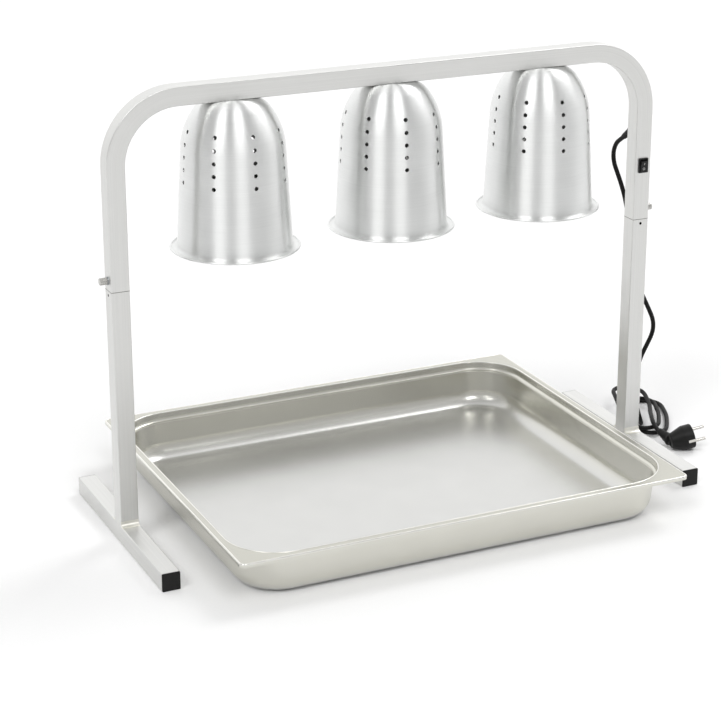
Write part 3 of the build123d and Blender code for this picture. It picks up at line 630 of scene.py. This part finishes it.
bar = bmesh.new()
bmesh.ops.create_cube(bar, size=1.0)
bmesh.ops.scale(bar, vec=mark_bar, verts=bar.verts)
bmesh.ops.bevel(
    bar, geom=bar.edges, offset=mark_round, segments=2, profile=0.5, affect="EDGES", material=-1
)
bmesh.ops.transform(bar, matrix=rocker_face(1), verts=bar.verts)
make_piece("rocker_mark_on", bar, mark_white, "rocker")

ring = bmesh.new()
section = bmesh.ops.create_circle(ring, segments=8, radius=mark_line)["verts"]
bmesh.ops.rotate(ring, matrix=Matrix.Rotation(pi / 2, 3, "X"), verts=section)
bmesh.ops.scale(ring, vec=(1, 1, 0.5), verts=section)
bmesh.ops.translate(ring, vec=(mark_ring, 0, 0), verts=section)
bmesh.ops.spin(ring, geom=ring.edges[:], steps=round_steps, **full_turn)
close_shape(ring)
bmesh.ops.transform(ring, matrix=rocker_face(-1), verts=ring.verts)
make_piece("rocker_mark_off", ring, mark_white, "rocker")

# Edges that catch the light, as sections swept round a rounded rectangle
corner_steps = 12
bead_sides = 12


def swept_edge(name, centre_x, half_size, corner, section, material, body, slot):
    """A closed section, as distances outwards and up: spun at each corner, extruded between."""
    reach_x, reach_y = half_size[0] - corner, half_size[1] - corner
    corners = ((1, 1), (-1, 1), (-1, -1), (1, -1))
    hubs = [Vector((centre_x + x * reach_x, y * reach_y, 0)) for x, y in corners]
    shape = bmesh.new()
    start = [shape.verts.new(hubs[0] + Vector((corner + away, 0, up))) for away, up in section]
    ring = [shape.edges.new(pair) for pair in zip(start, start[1:] + start[:1])]
    quarter = {"axis": (0, 0, 1), "angle": pi / 2, "steps": corner_steps}
    for hub, next_hub in zip(hubs, hubs[1:] + hubs[:1]):
        spun = bmesh.ops.spin(shape, geom=ring, cent=hub, **quarter)["geom_last"]
        spun_ring = [item for item in spun if isinstance(item, bmesh.types.BMEdge)]
        run = bmesh.ops.extrude_edge_only(shape, edges=spun_ring)["geom"]
        ends = {item for item in run if isinstance(item, bmesh.types.BMVert)}
        bmesh.ops.translate(shape, vec=next_hub - hub, verts=list(ends))
        ring = [edge for edge in shape.edges if ends.issuperset(edge.verts)]
    close_shape(shape)
    make_piece(name, shape, material, body)


def bead(radius, away, up):
    """Round section of a bead about a point."""
    turns = [2 * pi * side / bead_sides for side in range(bead_sides)]
    return [(away + radius * cos(turn), up + radius * sin(turn)) for turn in turns]


# Pan: a rolled outer edge, a bead round the mouth and a soft cove above the ledge
pan_x = -5 * MM
rim_half = (325 * MM, 265 * MM)
rim_corner = 8 * MM
mouth_half = (313.5 * MM, 253.5 * MM)
mouth_corner = 70 * MM
ledge_top = 53 * MM
cove = 4.5 * MM
cove_steps = 6
sunk = 0.2 * MM
rolled_edge = bead(1.5 * MM, -1.2 * MM, pan_top - 1.2 * MM)
mouth_bead = bead(1.0 * MM, 1.6 * MM, pan_top - 0.5 * MM)
cove_turns = [pi / 2 * step / cove_steps for step in range(cove_steps + 1)]
cove_section = [
    *((cove * (sin(turn) - 1), ledge_top + cove * (1 - cos(turn))) for turn in cove_turns),
    (sunk, ledge_top + cove),
    (sunk, ledge_top - sunk),
    (-cove, ledge_top - sunk),
]
rim = (pan_x, rim_half, rim_corner)
mouth = (pan_x, mouth_half, mouth_corner)
swept_edge("pan_rolled_edge", *rim, rolled_edge, edge_steel_painted_highlight, "pan", "pan_steel")
swept_edge("pan_mouth_bead", *mouth, mouth_bead, edge_steel_painted_highlight, "pan", "pan_steel")
swept_edge("pan_ledge_cove", *mouth, cove_section, pan_steel, "pan", "pan_steel")

# Legs: a rounded edge at the real seam at the top of each lower leg, dark grey as painted shade of
# its gap
leg_x = 387.5 * MM
leg_half = 12.5 * MM
leg_corner = 1.5 * MM
seam_height = 350 * MM
seam_shade_section = [
    (-0.3 * MM, seam_height),
    (0.05 * MM, seam_height),
    (0.08 * MM, seam_height - 0.5 * MM),
    (-0.3 * MM, seam_height - 1.1 * MM),
]
for side, x in (("left", -leg_x), ("right", leg_x)):
    leg = (x, (leg_half, leg_half), leg_corner)
    swept_edge(f"leg_seam_shade_{side}", *leg, seam_shade_section, seam_shade, "base", "tube_aluminium")

# Welds: a hollow fillet, ground smooth, before and behind each leg on its foot
foot_top = 25 * MM
fillet = 7 * MM
fillet_half = 12 * MM
fillet_steps = 8
hollow_y = leg_half + fillet
hollow_z = foot_top + fillet
fillet_turns = [pi + pi / 2 * step / fillet_steps for step in range(fillet_steps + 1)]
fillet_section = [
    *((hollow_y + fillet * cos(turn), hollow_z + fillet * sin(turn)) for turn in fillet_turns),
    (hollow_y, foot_top - sunk),
    (leg_half - sunk, foot_top - sunk),
    (leg_half - sunk, hollow_z),
]
fillets = bmesh.new()
for x in (-leg_x, leg_x):
    for way in (-1, 1):
        start = [fillets.verts.new((x - fillet_half, way * y, z)) for y, z in fillet_section]
        end = fillets.faces.new(start)
        drawn = bmesh.ops.extrude_face_region(fillets, geom=[end], use_keep_orig=True)["geom"]
        moved = [item for item in drawn if isinstance(item, bmesh.types.BMVert)]
        bmesh.ops.translate(fillets, vec=(2 * fillet_half, 0, 0), verts=moved)
close_shape(fillets)
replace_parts(make_piece("leg_weld_fillets", fillets, weld, "base"), "leg_welds")

# Paper floor, pressed: a wide, flat, nearly white sheet without gloss, its fibres drawn coarse
floor_half = 30.0
paper_fibre = 4 * MM
paper, tree, shader, place = new_material("paper_backdrop_white")
fibrous = {"Vector": place, "Scale": 1 / paper_fibre, "Detail": 2.0}
fibre = add(tree, "TexNoise", fibrous).outputs["Fac"]
ramp = add(tree, "ValToRGB", {"Fac": fibre}, ((0.0, "#fbfbfb"), (1.0, "#fefefe")))
surface = {"Base Color": ramp.outputs["Color"], "Roughness": 0.9, "Specular IOR Level": 0.1}
wire(tree, shader, surface)
floor_shape = bmesh.new()
bmesh.ops.create_grid(floor_shape, x_segments=1, y_segments=1, size=floor_half)
floor = add_mesh("floor", floor_shape, paper)

# Light: three soft lamps on the camera's side and a broad one behind.
# Each has degrees round from the camera, degrees up, breadth in degrees and strength.
toward_camera = Vector((-sin(view_yaw), -cos(view_yaw), 0))
image_right = Vector((cos(view_yaw), -sin(view_yaw), 0))
soft_lamps = {
    "lamp_left": (-33, 46, 24, 0.7),
    "lamp_front": (25, 52, 24, 0.7),
    "lamp_right": (136, 50, 24, 0.7),
    "lamp_back": (-160, 22, 80, 0.3),
}
for name, (azimuth, elevation, breadth, strength) in soft_lamps.items():
    level = toward_camera * cos(radians(azimuth)) + image_right * sin(radians(azimuth))
    towards = level * cos(radians(elevation)) + Vector((0, 0, sin(radians(elevation))))
    lamp_data = bpy.data.lights.new(name, "SUN")
    lamp_data.energy = strength
    lamp_data.angle = radians(breadth)
    lamp = bpy.data.objects.new(name, lamp_data)
    lamp.rotation_mode = "QUATERNION"
    lamp.rotation_quaternion = towards.to_track_quat("Z", "Y")
    scene.collection.objects.link(lamp)

# Room: white where it is seen, in reflections pale behind and dimmer on the camera's side
room_white = srgb("#ffffff")
seen_strength = 1.0
fill_strength = 0.55
room_sides = {"From Min": -0.3, "From Max": 0.2, "To Min": 1.0, "To Max": 0.58}
world = bpy.data.worlds.new("studio")
scene.world = world
world.use_nodes = True
tree = world.node_tree
tree.nodes.clear()
ray = add(tree, "LightPath").outputs
way = add(tree, "TexCoord").outputs["Generated"]
facing = {0: way, 1: toward_camera}
front = add(tree, "VectorMath", facing, operation="DOT_PRODUCT").outputs["Value"]
walls = add(tree, "MapRange", {"Value": front, **room_sides}).outputs[0]
direct = {0: ray["Is Camera Ray"], 1: ray["Is Transmission Ray"]}
seen = add(tree, "Math", direct, operation="MAXIMUM").outputs[0]
fill = add(tree, "Background", {"Color": room_white, "Strength": fill_strength}).outputs[0]
room = add(tree, "Background", {"Color": room_white, "Strength": walls}).outputs[0]
white = add(tree, "Background", {"Color": room_white, "Strength": seen_strength}).outputs[0]
mixed = add(tree, "MixShader", {0: ray["Is Glossy Ray"], 1: fill, 2: room}).outputs[0]
mixed = add(tree, "MixShader", {0: seen, 1: mixed, 2: white}).outputs[0]
add(tree, "OutputWorld", {"Surface": mixed})

scene.view_settings.view_transform = "Standard"

bpy.context.view_layer.update()
